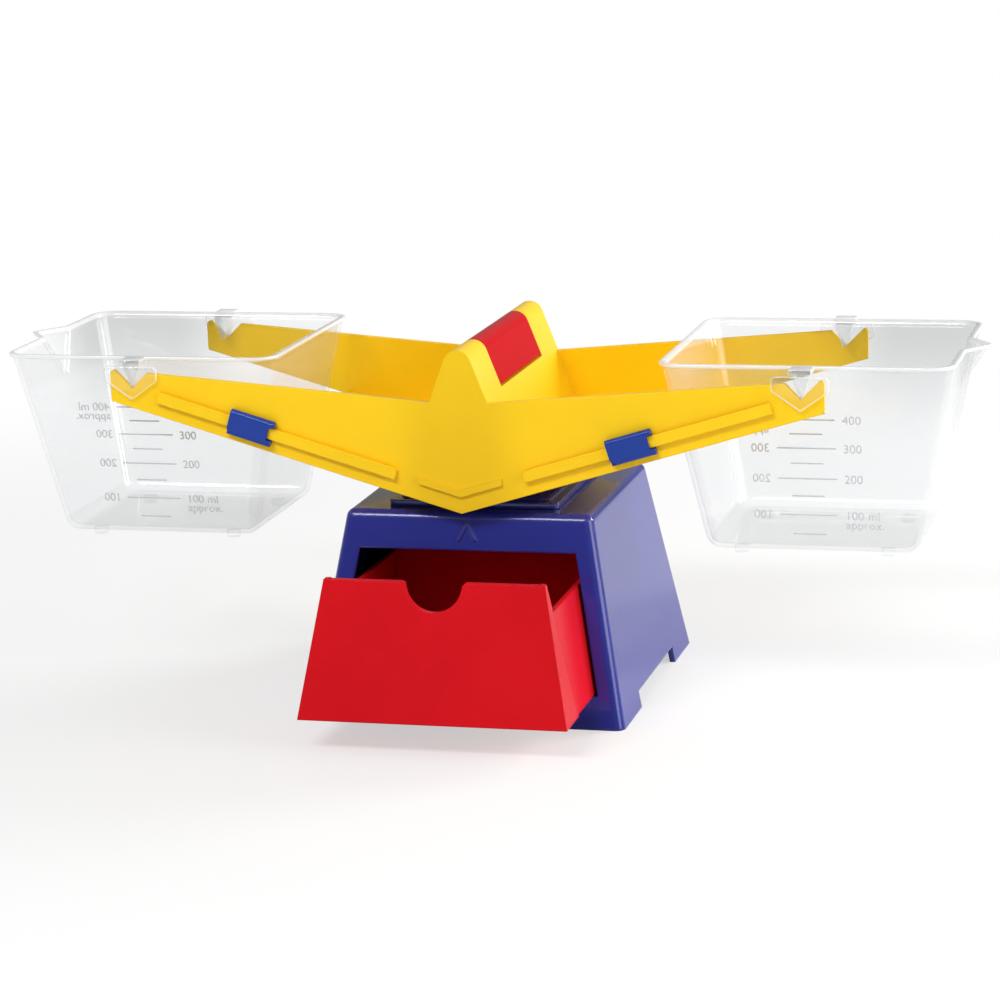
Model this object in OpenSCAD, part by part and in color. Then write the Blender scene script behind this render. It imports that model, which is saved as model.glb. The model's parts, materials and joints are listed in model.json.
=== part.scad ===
// Bucket balance for a classroom: a blue base with a storage drawer, a yellow trough beam that rocks
// on a pin inside its ridge, two clear measuring buckets that hang in notches on knife edges, and two
// zeroing sliders on rails. Drawn level and at rest, with the drawer partly pulled out.
// X runs along the beam, Y points away from the drawer, Z is up and the table is at zero.

/* [Base] */
// Width of the base at the table
base_w = 136.4; // [125:0.2:170]
// Depth of the base at the table
base_d = 142.6; // [130:0.2:170]
// Height of the base's flat top
base_h = 86.5; // [82:0.5:87]
// Width of the flat top
base_top_w = 105.2; // [95:0.2:120]
// Depth of the flat top
base_top_d = 107; // [95:0.5:118]
// Thickness of the base's walls
base_wall = 2.4; // [1.6:0.1:3.2]
// Rounding of the base's edges
base_edge_r = 4; // [2:0.5:8]
// Length of the gap under each side, between the feet
side_gap_d = 70.6; // [40:0.2:90]
// Height of the gap under each side
side_gap_h = 7; // [4:0.5:9]
// Width of the pointer mark on the front
mark_w = 8.6; // [4:0.2:14]
// Height of the pointer mark
mark_h = 8; // [4:0.5:10]
// Width of the pointer mark's line
mark_line = 1.3; // [0.8:0.1:2]

/* [Drawer window] */
// Width of the frame beside the window
window_frame = 8.9; // [8.2:0.1:14]
// Height of the window's top edge
window_top_z = 70.9; // [62:0.1:76]
// Height of the window's sill
window_low_z = 13.5; // [12:0.1:18]

/* [Base floor] */
// Thickness of the floor plate
floor_t = 2.4; // [1.6:0.1:3]
// Height of the runners that the drawer slides on
runner_h = 0.4; // [0.2:0.1:1]
// Width of each runner
runner_w = 4; // [2:0.5:8]
// Distance between the runners
runner_gap = 64; // [40:1:90]
// Radius of the screw bosses in the base's corners
boss_r = 2.9; // [2.4:0.1:3.2]
// Height of the screw bosses
boss_h = 11; // [8:0.5:16]

/* [Drawer] */
// How far the drawer stands open
drawer_out = 52; // [0:1:75]
// Gap all round the drawer in its window
drawer_play = 0.6; // [0.3:0.1:1]
// Thickness of the sloping front
drawer_skin = 3; // [2:0.1:4]
// Thickness of the tray's walls
tray_wall = 2.2; // [1.4:0.1:3]
// Height of the tray's rim above the table
tray_top_z = 58; // [40:0.5:62]
// Step from the drawer front's cheek to the tray's side
tray_step = 0.8; // [0.3:0.1:1.5]
// Depth of the front's cheeks at the bottom
cheek_low = 21; // [10:0.5:30]
// Gap behind the closed drawer, at the tray's rim
tray_back_gap = 3; // [1:0.5:12]
// Radius of the finger notch
grip_r = 12; // [8:0.5:13]
// Rounding of the finger notch's lips
grip_lip_r = 1.6; // [0.8:0.1:2.5]
// Width of the stop nubs on the front's top edge
nub_w = 2.6; // [1.5:0.1:4]
// Height of the stop nubs
nub_h = 0.4; // [0.2:0.05:0.5]

/* [Fulcrum post] */
// Width of the post's flange, along the beam
flange_w = 73; // [64:1:84]
// Depth of the post's flange
flange_d = 90; // [70:1:94]
// Thickness of the flange
flange_t = 2.6; // [2:0.1:3]
// Corner rounding of the flange
flange_r = 3; // [2:0.5:8]
// Height of the raised pad on the flange
pad_t = 0.6; // [0.3:0.1:0.8]
// Step in from the flange's edge to the pad
pad_step = 4; // [2:0.5:8]
// Length of the post along the pivot
post_len = 54; // [40:1:56]
// Radius of the post's head around the pin
post_head_r = 4.2; // [3.4:0.1:4.3]
// Flare of the post's sides below the head, in degrees
post_flare = 9; // [6:0.5:9]
// Thickness of the post's walls
post_wall = 2.6; // [2:0.1:3]

/* [Pivot] */
// Height of the pivot above the base's flat top
pivot_z = 60.5; // [59.5:0.1:61.5]
// Radius of the pivot pin
pin_r = 1.5; // [1:0.1:2]
// Running play round the pin
pin_play = 0.06; // [0.02:0.01:0.1]

/* [Beam] */
// Width of the beam over its side plates
beam_w = 125; // [122:0.5:140]
// Half the length of the beam
beam_half = 151; // [146:0.5:170]
// Thickness of the side plates
plate_t = 2.6; // [2:0.1:3.2]
// Rounding of the side plates' end corners
plate_end_r = 1.5; // [0.5:0.1:2.5]
// Height of the pointed lower edge at the middle above the base's flat top
tip_z = 1.4; // [1:0.1:5.5]
// Height of the lower edge at the beam's ends above the base's flat top
end_low_z = 46.2; // [43.5:0.1:47.5]
// Height of the upper edge at the beam's ends above the base's flat top
end_top_z = 59.5; // [58.5:0.1:63.5]
// Height above the base's flat top that the upper edges run down to at the middle
middle_top_z = 47; // [38.5:0.5:51.5]
// Distance from each end of the beam to its bucket's notch
notch_x = 9.5; // [9:0.5:13]
// Height of the notches' bottom above the base's flat top
notch_z = 51.7; // [50.5:0.1:52.5]
// Distance from the middle to the open end of the trough floor
trough_end_x = 83.5; // [50:0.5:84]
// Thickness of the trough floor
trough_t = 2.6; // [1.8:0.1:3.2]
// Height of the ridge above the pivot
ridge_rise = 9.2; // [8.8:0.1:10.4]
// Rounding of the ridge
ridge_r = 6; // [5.6:0.1:7]
// Thickness of the ridge's walls
ridge_wall = 2.4; // [1.8:0.1:2.4]
// Flare of the ridge's sides, in degrees
ridge_flare = 21; // [20:0.5:24]

/* [Rails and rib] */
// Distance from the middle to the inner end of each rail
rail_in_x = 27; // [22:0.5:40]
// Distance from the middle to the outer end of each rail
rail_out_x = 130; // [110:0.5:130]
// Height of the rails above the plate's lower edge
rail_up = 6; // [5.5:0.1:9]
// Height of a rail's head
rail_h = 4.8; // [4:0.1:6]
// Height of a rail's neck
rail_neck_h = 3; // [2:0.1:3.4]
// Rounding of a rail's upper inner corner
rail_end_r = 2.4; // [1:0.1:3]
// Thickness of a rail's neck
rail_neck_t = 1.1; // [1:0.1:1.6]
// Thickness of a rail's head
rail_head_t = 1.2; // [0.8:0.1:1.6]
// Half the width of the pointer rib
rib_half = 17.7; // [10:0.1:20]
// Height of the pointer rib above the plate's lower edge
rib_up = 7.1; // [6:0.1:12]
// Height of the pointer rib's line
rib_h = 2.9; // [1.5:0.1:4]
// Thickness of the pointer rib
rib_t = 1.2; // [0.6:0.1:2]

/* [Sliders] */
// Length of a slider
slider_len = 19.5; // [12:0.5:22]
// Height of a slider
slider_h = 11; // [9:0.1:11]
// Thickness of a slider's front
slider_front_t = 1.6; // [1.2:0.1:2.4]
// Step back of a slider's front from one end of its hooks
slider_step = 2; // [0.6:0.1:3]
// Height of that step
slider_step_h = 5.6; // [4:0.1:7]
// Lower corner cut off the other end of a slider's front
slider_corner = 2.7; // [1:0.1:3.5]
// Rounding of a slider's long edges
slider_edge_r = 1.8; // [0.5:0.1:1.9]
// Play between a slider and its rail
slider_play = 0.25; // [0.2:0.01:0.28]
// Distance from the middle to the left slider
slider_left_x = 89; // [60:0.5:105]
// Distance from the middle to the right slider
slider_right_x = 72.5; // [60:0.5:105]

/* [Ridge bearing] */
// Length of the bearing's cap along the ridge
cap_len = 71; // [66:0.5:90]
// Drop of the cap's lower edges below the pivot
cap_drop = 9.7; // [7:0.1:11]
// Gap round the cap in the ridge's slot
cap_play = 0.3; // [0.2:0.05:0.5]
// Gap under the cap's lower edges
cap_drop_gap = 0.9; // [0.5:0.1:1.5]
// Gap between the post and each bearing block
block_gap = 2; // [1:0.1:3]
// Length of each bearing block
block_len = 9.5; // [7:0.5:10]
// Depth of each bearing block below the pivot
block_drop = 5.5; // [4:0.1:7]

/* [Bucket] */
// Length of a bucket's rim, along the beam
bucket_w = 120.6; // [110:0.2:122]
// Depth of a bucket's rim
bucket_d = 113.6; // [104:0.2:114]
// Height of a bucket's rim above the base's flat top
bucket_rim_z = 64.2; // [64.1:0.1:67.5]
// Height of a bucket from its floor to its rim
bucket_h = 80.6; // [60:0.1:90]
// Length of a bucket's floor
bucket_low_w = 89.6; // [70:0.2:92]
// Depth of a bucket's floor
bucket_low_d = 82; // [70:0.2:90]
// Thickness of a bucket's walls
bucket_wall = 1.8; // [1.2:0.1:2.4]
// Rounding of a bucket's corners at the rim
bucket_rim_r = 9; // [6:0.5:14]
// Rounding of a bucket's corners and edges at its floor
bucket_low_r = 7; // [5:0.5:10]
// Height of the bead round the rim
bead_h = 1.6; // [1:0.1:2.4]
// How far the bead stands out
bead_out = 0.8; // [0.4:0.1:1.4]
// Reach of the pouring spout beyond the rim
spout_reach = 9.5; // [6:0.5:14]
// Half the width of the spout at the rim
spout_half = 14; // [8:0.5:18]
// Drop of the spout's keel below the rim
spout_drop = 19; // [12:0.5:28]
// Radius of a bucket's feet
bucket_foot_r = 3; // [2:0.1:5]
// Height of a bucket's feet
bucket_foot_h = 2.4; // [1:0.1:3]
// Distance from a bucket's middle to its feet
bucket_foot_at = 30.4; // [22:0.1:32]

/* [Bucket hangers] */
// Width of the bridge over the side plate
bridge_w = 9.4; // [8:0.1:10]
// Thickness of the bridge
bridge_t = 2.2; // [1.6:0.1:2.4]
// Width of the shield outside the plate
shield_w = 23.4; // [16:0.2:24]
// Thickness of the shield
shield_t = 1.8; // [1.2:0.1:2.4]
// Height of the shield's straight sides
shield_side = 6; // [4:0.1:8]
// Height of the whole shield
shield_h = 14.2; // [12:0.1:14.6]
// Step down from the rim to the shield's top edge
shield_drop = 2.9; // [2:0.1:3.4]
// Corner rounding of the shield
shield_r = 2; // [1:0.1:3]
// Gap between the shield and the plate
shield_play = 0.6; // [0.4:0.05:1]
// Radius of the knife edge that sits in the notch
knife_r = 0.5; // [0.3:0.1:0.8]
// Half angle of the knife, in degrees
knife_angle = 22; // [15:0.5:24]
// Gap between the knife edge and its notch
knife_play = 0.25; // [0.15:0.05:0.35]

/* [Screws] */
// Radius of the screws' threads
screw_r = 1.3; // [1:0.1:1.5]
// Radius of the screws' heads
screw_head_r = 2.5; // [2:0.1:2.8]
// Height of the screws' heads
screw_head_h = 1.8; // [1.2:0.1:2.2]
// Length of the screws' threads
screw_len = 9; // [6:0.5:10]
// Play round a screw's thread
screw_play = 0.05; // [0.02:0.01:0.1]

/* [Hidden] */
$fn = 64;

blue = "#2a3192";
yellow = "#fbd323";
red = "#dd2027";
clear = [0.92, 0.95, 0.97, 0.4];
steel = "#b9bcc0";

// Overrun of cuts, thickness of the discs that carry a hull, gap under faces that slide, and gap of faces
// that are clamped together
over = 1;
disc_t = 0.01;
rest_gap = 0.3;
seat_gap = 0.05;
hull_fn = 32;

// Half the opening angle of the notches, in degrees
notch_angle = 45;

// Levels above the table of what the base carries: its sizes start at the base's flat top
pivot_level = base_h + pivot_z;
tip_level = base_h + tip_z;
end_low_level = base_h + end_low_z;
end_top_level = base_h + end_top_z;
middle_top_level = base_h + middle_top_z;
notch_level = base_h + notch_z;
bucket_rim_level = base_h + bucket_rim_z;

// Slopes of the base's walls, its half sizes at a height and the play of the floor plate in it
side_slope = (base_w - base_top_w) / 2 / base_h;
front_slope = (base_d - base_top_d) / 2 / base_h;
function base_half_w(z) = base_w / 2 - side_slope * z;
function base_half_d(z) = base_d / 2 - front_slope * z;
floor_play = 0.3;
floor_r = 2;

// How far the pointer mark stands out
mark_t = 0.6;

// The drawer rides just above the runners, inside the window
drawer_low_z = window_low_z + drawer_play;
drawer_top_z = window_top_z - drawer_play;
floor_top_z = drawer_low_z - rest_gap - runner_h;
floor_low_z = floor_top_z - floor_t;
function window_half(z) = base_half_w(z) - window_frame;
function drawer_half(z) = window_half(z) - drawer_play;
tray_back_y = base_half_d(tray_top_z) - base_wall - tray_back_gap - drawer_out;

// Screw bosses stand against the base's sides, beside the window
boss_x = base_half_w(floor_top_z) - base_wall - floor_play - boss_r;
boss_y = base_half_d(floor_top_z + boss_h) - base_wall - boss_r;

// The fulcrum post and its screws
post_low_z = base_h + flange_t;
post_screw_y = post_len / 4;
post_boss_r = screw_r + post_wall;
post_boss_h = screw_len + post_wall;
cavity_head_share = 3;
cavity_top_z = pivot_level - cavity_head_share * post_head_r;
function post_half(z) = post_head_r / cos(post_flare) + (pivot_level - z) * tan(post_flare);

// The beam's notches, lower edge, ridge and rails
hang_x = beam_half - notch_x;
arm_slope = (end_low_level - tip_level) / beam_half;
arm_angle = atan(arm_slope);
function low_z(x) = tip_level + arm_slope * x;
ridge_z = pivot_level + ridge_rise;
ridge_mid_z = ridge_z - ridge_r;
inner_r = ridge_r - ridge_wall;
function ridge_half(r, z) = r / cos(ridge_flare) + (ridge_mid_z - z) * tan(ridge_flare);
plate_y = beam_w / 2;
trough_rise = trough_t / cos(arm_angle);
rail_mid_up = rail_up + rail_h / 2 / cos(arm_angle);
rail_t = rail_neck_t + rail_head_t;
rib_rise = rib_h / cos(arm_angle);

// The bearing's cap and blocks, and the pin that they run on
cap_low_z = pivot_level - cap_drop;
block_in_y = post_len / 2 + block_gap;
block_out_y = block_in_y + block_len;
pin_half = block_out_y;

// The buckets' taper, and the height of the knife edges that they swing on
bucket_low_z = bucket_rim_level - bucket_h;
swing_z = notch_level + (knife_r + knife_play) / sin(notch_angle);
shield_in_y = plate_y + shield_play;
shield_out_y = shield_in_y + shield_t;
bridge_low_z = bucket_rim_level - bridge_t;
shield_top_z = bucket_rim_level - shield_drop;
keel_slope = (bucket_w - bucket_low_w) / 2 / bucket_h;

// The origin lies under the middle of the box that the part fills with its drawer out
front_y = -base_half_d(drawer_low_z) - drawer_out;
back_y = base_half_d(0);
middle_y = (min(front_y, -back_y) + back_y) / 2;

// Carries a drawing of X and Z along Y
module along_y(y0, y1) {
    translate([0, y1, 0]) rotate([90, 0, 0]) linear_extrude(y1 - y0) children();
}

// Carries a drawing of Y and Z along X
module along_x(x0, x1) {
    translate([x0, 0, 0]) rotate([90, 0, 90]) linear_extrude(x1 - x0) children();
}

// Draws its children in the four corners of a rectangle
module corners(half_x, half_y) {
    for (sx = [-1, 1], sy = [-1, 1]) translate([sx * half_x, sy * half_y, 0]) children();
}

// Draws its children on both sides of the middle
module both_sides() {
    for (side = [0, 1]) mirror([side, 0, 0]) children();
}

// Draws its children at the front and at the back
module front_and_back() {
    for (side = [0, 1]) mirror([0, side, 0]) children();
}

// Moves a piece to the part's own origin
module placed() {
    translate([0, -middle_y, 0]) children();
}

module round_rect(w, d, r) {
    square([w - 2 * r, d], center = true);
    square([w, d - 2 * r], center = true);
    corners(w / 2 - r, d / 2 - r) circle(r);
}

// What a fillet takes off a corner at the origin, between edges that leave it at two angles
module corner_cut(r, from, to) {
    half = (to - from) / 2;
    reach = r / tan(half);
    middle = r / sin(half) * [cos(from + half), sin(from + half)];
    difference() {
        polygon([[0, 0], reach * [cos(from), sin(from)], middle, reach * [cos(to), sin(to)]]);
        translate(middle) circle(r);
    }
}

// Truncated pyramid of the base with rounded edges, drawn in from the outer faces by an inset
module base_form(inset, low_z, r) {
    top_z = base_h - inset - r;
    hull() {
        translate([0, 0, low_z])
            corners(base_half_w(low_z) - inset - r, base_half_d(low_z) - inset - r)
                cylinder(r = r, h = disc_t, $fn = hull_fn);
        translate([0, 0, top_z])
            corners(base_half_w(top_z) - inset - r, base_half_d(top_z) - inset - r)
                sphere(r = r, $fn = hull_fn);
    }
}

module mark_outline() {
    polygon([[0, 0], [mark_w / 2, -mark_h], [-mark_w / 2, -mark_h]]);
}

// Raised chevron on the front wall
module pointer_mark() {
    mark_top_z = (base_h + window_top_z + mark_h) / 2;
    lean = atan(front_slope);
    translate([0, -base_half_d(mark_top_z), mark_top_z]) rotate([-lean, 0, 0])
        along_y(-mark_t, base_wall / 2) difference() {
            mark_outline();
            translate([0, -mark_line * mark_h / mark_w * 2]) mark_outline();
        }
}

// A screw that points up, with its thread starting at zero
module screw() {
    translate([0, 0, -screw_head_h]) cylinder(r = screw_head_r, h = screw_head_h);
    cylinder(r = screw_r, h = screw_len);
}

module base_housing() {
    inner_edge_r = max(base_edge_r - base_wall, base_wall / 2);
    color(blue) placed() {
        difference() {
            union() {
                base_form(0, 0, base_edge_r);
                pointer_mark();
            }
            base_form(base_wall, -over, inner_edge_r);
            along_y(-base_d, 0) polygon([
                [-window_half(window_low_z), window_low_z], [window_half(window_low_z), window_low_z],
                [window_half(window_top_z), window_top_z], [-window_half(window_top_z), window_top_z]]);
            translate([-base_w, -side_gap_d / 2, -over]) cube([2 * base_w, side_gap_d, side_gap_h + over]);
            for (y = [-post_screw_y, post_screw_y]) translate([0, y, base_h - base_wall - over])
                cylinder(r = screw_r + screw_play, h = base_wall + 2 * over);
        }
        intersection() {
            base_form(base_wall / 2, 0, inner_edge_r);
            both_sides() front_and_back() translate([boss_x, boss_y, floor_top_z]) difference() {
                union() {
                    cylinder(r = boss_r, h = boss_h);
                    translate([0, -boss_r, 0]) cube([base_w, 2 * boss_r, boss_h]);
                }
                translate([0, 0, -over]) cylinder(r = screw_r + screw_play, h = boss_h + 2 * over);
            }
        }
    }
}

module base_floor() {
    wide = 2 * (base_half_w(floor_top_z) - base_wall - floor_play);
    deep = 2 * (base_half_d(floor_top_z) - base_wall - floor_play);
    color(blue) placed() difference() {
        union() {
            translate([0, 0, floor_low_z]) linear_extrude(floor_t) round_rect(wide, deep, floor_r);
            both_sides() translate([runner_gap / 2, 0, floor_top_z])
                linear_extrude(runner_h) round_rect(runner_w, deep - 2 * base_wall, runner_w / 4);
        }
        both_sides() front_and_back() translate([boss_x, boss_y, floor_low_z - over])
            cylinder(r = screw_r + screw_play, h = floor_t + 2 * over);
    }
}

module floor_screws() {
    color(steel) placed() both_sides() front_and_back() translate([boss_x, boss_y, floor_low_z]) screw();
}

module post_outline() {
    translate([0, pivot_level]) circle(post_head_r);
    tangent_z = pivot_level + post_head_r * sin(post_flare);
    polygon([[-post_half(post_low_z), post_low_z], [post_half(post_low_z), post_low_z],
             [post_half(tangent_z), tangent_z], [-post_half(tangent_z), tangent_z]]);
}

// Hollow under the post, narrower than its outline by the wall
module post_cavity() {
    side = post_wall / cos(post_flare);
    low_half = post_half(base_h) - side;
    top_half = post_half(cavity_top_z) - side;
    polygon([[-low_half, base_h - over], [low_half, base_h - over],
             [top_half, cavity_top_z], [-top_half, cavity_top_z]]);
}

module fulcrum_post() {
    color(blue) placed() difference() {
        union() {
            difference() {
                union() {
                    translate([0, 0, base_h]) linear_extrude(flange_t)
                        round_rect(flange_w, flange_d, flange_r);
                    translate([0, 0, post_low_z]) linear_extrude(pad_t)
                        round_rect(flange_w - 2 * pad_step, flange_d - 2 * pad_step, flange_r);
                    along_y(-post_len / 2, post_len / 2) post_outline();
                }
                along_y(post_wall - post_len / 2, post_len / 2 - post_wall) post_cavity();
            }
            for (y = [-post_screw_y, post_screw_y]) translate([0, y, base_h]) {
                cylinder(r = post_boss_r, h = post_boss_h);
                translate([-post_half(base_h) + post_wall / 2, -post_wall / 2, 0])
                    cube([2 * post_half(base_h) - post_wall, post_wall, flange_t]);
            }
        }
        for (y = [-post_screw_y, post_screw_y]) translate([0, y, base_h - over])
            cylinder(r = screw_r + screw_play, h = screw_len + over);
        translate([0, 0, pivot_level]) rotate([90, 0, 0])
            cylinder(r = pin_r + pin_play / 2, h = post_len + 2 * over, center = true);
    }
}

module post_screws() {
    color(steel) placed() for (y = [-post_screw_y, post_screw_y])
        translate([0, y, base_h - base_wall - seat_gap]) screw();
}

module pivot_pin() {
    color(steel) placed() translate([0, 0, pivot_level]) rotate([90, 0, 0])
        cylinder(r = pin_r, h = 2 * pin_half, center = true);
}

// Cross section of the drawer between two heights, drawn in by an inset
module drawer_section(inset, low, top) {
    polygon([[inset - drawer_half(low), low], [drawer_half(low) - inset, low],
             [drawer_half(top) - inset, top], [inset - drawer_half(top), top]]);
}

// Side view of the sloping front: parallel to the base's front, with cheeks that deepen downwards
module front_side() {
    low_y = -base_half_d(drawer_low_z) - drawer_out;
    top_y = -base_half_d(drawer_top_z) - drawer_out;
    polygon([[low_y, drawer_low_z], [low_y + cheek_low, drawer_low_z],
             [top_y + drawer_skin, drawer_top_z], [top_y, drawer_top_z]]);
}

// Side view of the room in the drawer, from the back of its sloping front to the back wall
module room_side() {
    floor_z = drawer_low_z + tray_wall;
    roof_z = drawer_top_z + over;
    polygon([[drawer_skin - base_half_d(floor_z) - drawer_out, floor_z], [tray_back_y - tray_wall, floor_z],
             [tray_back_y - tray_wall, roof_z], [drawer_skin - base_half_d(roof_z) - drawer_out, roof_z]]);
}

// Half-round notch for a finger, with rounded lips
module grip_outline() {
    circle(grip_r);
    translate([-grip_r, 0]) square([2 * grip_r, over]);
    both_sides() translate([grip_r - disc_t, -grip_lip_r]) difference() {
        square([grip_lip_r, grip_lip_r + over]);
        translate([grip_lip_r, 0]) circle(grip_lip_r);
    }
}

module drawer() {
    front_end = -base_d - drawer_out;
    room_w = base_w;
    nub_back_y = drawer_skin - base_half_d(drawer_top_z) - drawer_out - nub_h;
    color(red) placed() difference() {
        union() {
            intersection() {
                along_x(-room_w, room_w) front_side();
                along_y(front_end, 0) drawer_section(0, drawer_low_z, drawer_top_z);
            }
            both_sides() translate([drawer_half(drawer_top_z) - nub_w, 0, drawer_top_z])
                along_y(-base_half_d(drawer_top_z) - drawer_out + nub_h, nub_back_y)
                    translate([0, -nub_h]) square([nub_w - nub_h, 2 * nub_h]);
            along_y(cheek_low / 2 - base_half_d(drawer_low_z) - drawer_out, tray_back_y) difference() {
                drawer_section(tray_step, drawer_low_z, tray_top_z);
                drawer_section(tray_step + tray_wall, drawer_low_z + tray_wall, tray_top_z + over);
            }
            along_y(tray_back_y - tray_wall, tray_back_y)
                drawer_section(tray_step, drawer_low_z, tray_top_z);
        }
        intersection() {
            along_x(-room_w, room_w) room_side();
            along_y(front_end, tray_back_y)
                drawer_section(tray_step + tray_wall, drawer_low_z + tray_wall, drawer_top_z + over);
        }
        along_y(front_end, -base_half_d(drawer_low_z) - drawer_out + cheek_low)
            translate([0, drawer_top_z]) grip_outline();
    }
}

// Cross section of the ridge down to a height: a round top with flaring sides
module ridge_outline(r, low) {
    tangent_z = ridge_mid_z + r * sin(ridge_flare);
    translate([0, ridge_mid_z]) circle(r);
    polygon([[-ridge_half(r, low), low], [ridge_half(r, low), low],
             [ridge_half(r, tangent_z), tangent_z], [-ridge_half(r, tangent_z), tangent_z]]);
}

// Everything above the beam's lower edges
module above_edges() {
    top_z = max(ridge_z, end_top_level);
    polygon([[0, tip_level], [beam_half, end_low_level], [beam_half, top_z], [-beam_half, top_z],
             [-beam_half, end_low_level]]);
}

// Side plate: two arms with notches, and the gable that closes the ridge
module plate_outline() {
    notch_h = end_top_level - notch_level + over;
    notch_half = notch_h * tan(notch_angle);
    top_angle = atan((end_top_level - middle_top_level) / beam_half);
    difference() {
        union() {
            polygon([[0, tip_level], [beam_half, end_low_level], [beam_half, end_top_level],
                     [0, middle_top_level], [-beam_half, end_top_level], [-beam_half, end_low_level]]);
            intersection() {
                ridge_outline(ridge_r, tip_level);
                above_edges();
            }
        }
        both_sides() {
            translate([hang_x, notch_level])
                polygon([[0, 0], [notch_half, notch_h], [-notch_half, notch_h]]);
            translate([beam_half, end_low_level]) corner_cut(plate_end_r, 90, 180 + arm_angle);
            translate([beam_half, end_top_level]) corner_cut(plate_end_r, 180 + top_angle, 270);
        }
    }
}

// Walls of the ridge and the two floors of the trough
module trough_outline() {
    difference() {
        union() {
            intersection() {
                ridge_outline(ridge_r, tip_level);
                above_edges();
            }
            both_sides() polygon([[0, tip_level], [trough_end_x, low_z(trough_end_x)],
                [trough_end_x, low_z(trough_end_x) + trough_rise], [0, tip_level + trough_rise]]);
        }
        ridge_outline(inner_r, tip_level - over);
    }
}

// Places its children on the right-hand rail, with X along the rail and Z across it
module on_rail(x) {
    translate([x, 0, low_z(x) + rail_mid_up]) rotate([0, -arm_angle, 0]) children();
}

// T-shaped rail on the front plate
module rail() {
    run = (rail_out_x - rail_in_x) / cos(arm_angle);
    on_rail(rail_in_x) {
        translate([0, -plate_y - rail_neck_t, -rail_neck_h / 2])
            cube([run, rail_neck_t + plate_t / 2, rail_neck_h]);
        along_y(-plate_y - rail_t, -plate_y - rail_neck_t) difference() {
            translate([0, -rail_h / 2]) square([run, rail_h]);
            translate([0, rail_h / 2]) corner_cut(rail_end_r, -90, 0);
        }
    }
}

// V-shaped pointer rib on the front plate
module pointer_rib() {
    along_y(-plate_y - rib_t, plate_t / 2 - plate_y) both_sides()
        polygon([[0, tip_level + rib_up], [rib_half, low_z(rib_half) + rib_up],
                 [rib_half, low_z(rib_half) + rib_up + rib_rise], [0, tip_level + rib_up + rib_rise]]);
}

module beam() {
    slot_half = cap_len / 2 + cap_play;
    slot_low_z = cap_low_z - cap_drop_gap;
    color(yellow) placed() {
        difference() {
            along_y(plate_t / 2 - plate_y, plate_y - plate_t / 2) trough_outline();
            translate([-beam_half, -slot_half, slot_low_z]) cube([2 * beam_half, 2 * slot_half, ridge_z]);
        }
        front_and_back() along_y(-plate_y, plate_t - plate_y) plate_outline();
        both_sides() rail();
        pointer_rib();
    }
}

// The part of the ridge's section that lies above a height
module ridge_top(r, low) {
    intersection() {
        ridge_outline(r, low - over);
        translate([-beam_half, low]) square([2 * beam_half, ridge_z]);
    }
}

module ridge_bearing() {
    block_low_z = pivot_level - block_drop;
    color(red) placed() difference() {
        union() {
            along_y(-cap_len / 2, cap_len / 2) difference() {
                ridge_top(ridge_r, cap_low_z);
                ridge_outline(inner_r, cap_low_z - 2 * over);
            }
            front_and_back() {
                along_y(block_in_y, cap_len / 2) ridge_top(ridge_r, block_low_z);
                along_y(block_in_y, block_out_y) ridge_top(inner_r - cap_play / 2, block_low_z);
            }
        }
        translate([0, 0, pivot_level]) rotate([90, 0, 0])
            cylinder(r = pin_r + pin_play, h = 2 * block_out_y + over, center = true);
    }
}

// End view of a slider: a channel whose hooks reach behind the rail's head
module slider_outline() {
    front = rail_t + slider_play + slider_front_t;
    difference() {
        translate([-(front + slider_play) / 2, 0])
            round_rect(front - slider_play, slider_h, slider_edge_r);
        translate([-rail_t - slider_play, -rail_h / 2 - slider_play])
            square([rail_head_t + 2 * slider_play, rail_h + 2 * slider_play]);
        translate([-rail_t, -rail_neck_h / 2 - slider_play])
            square([rail_t, rail_neck_h + 2 * slider_play]);
    }
}

// Both sliders are the same moulding: its front steps back at the right end and loses a corner at the left
module slider() {
    head_y = -plate_y - rail_t;
    half = slider_len / 2;
    difference() {
        translate([0, -plate_y, 0]) along_x(-half, half) slider_outline();
        along_y(head_y - slider_play - slider_front_t - over, head_y) {
            translate([half - slider_step, -slider_step_h / 2]) square([slider_step + over, slider_step_h]);
            translate([-half, -slider_h / 2]) polygon([[-over, -over], [slider_corner + over, -over],
                                                       [-over, slider_corner + over]]);
        }
    }
}

module slider_left() {
    color(blue) placed() mirror([1, 0, 0]) on_rail(slider_left_x) mirror([1, 0, 0]) slider();
}

module slider_right() {
    color(blue) placed() on_rail(slider_right_x) slider();
}

// Tapered tub with rounded corners, drawn in by an inset, from its floor to a height above its rim
module tub(inset, above, rim_r, low_r) {
    half_w = bucket_w / 2 - bead_out + above * keel_slope - inset;
    half_d = bucket_d / 2 - bead_out + above * keel_slope - inset;
    hull() {
        translate([0, 0, bucket_rim_level + above - disc_t])
            corners(half_w - rim_r, half_d - rim_r) cylinder(r = rim_r, h = disc_t, $fn = hull_fn);
        translate([0, 0, bucket_low_z + inset + low_r])
            corners(bucket_low_w / 2 - inset - low_r, bucket_low_d / 2 - inset - low_r)
                sphere(r = low_r, $fn = hull_fn);
    }
}

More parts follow.
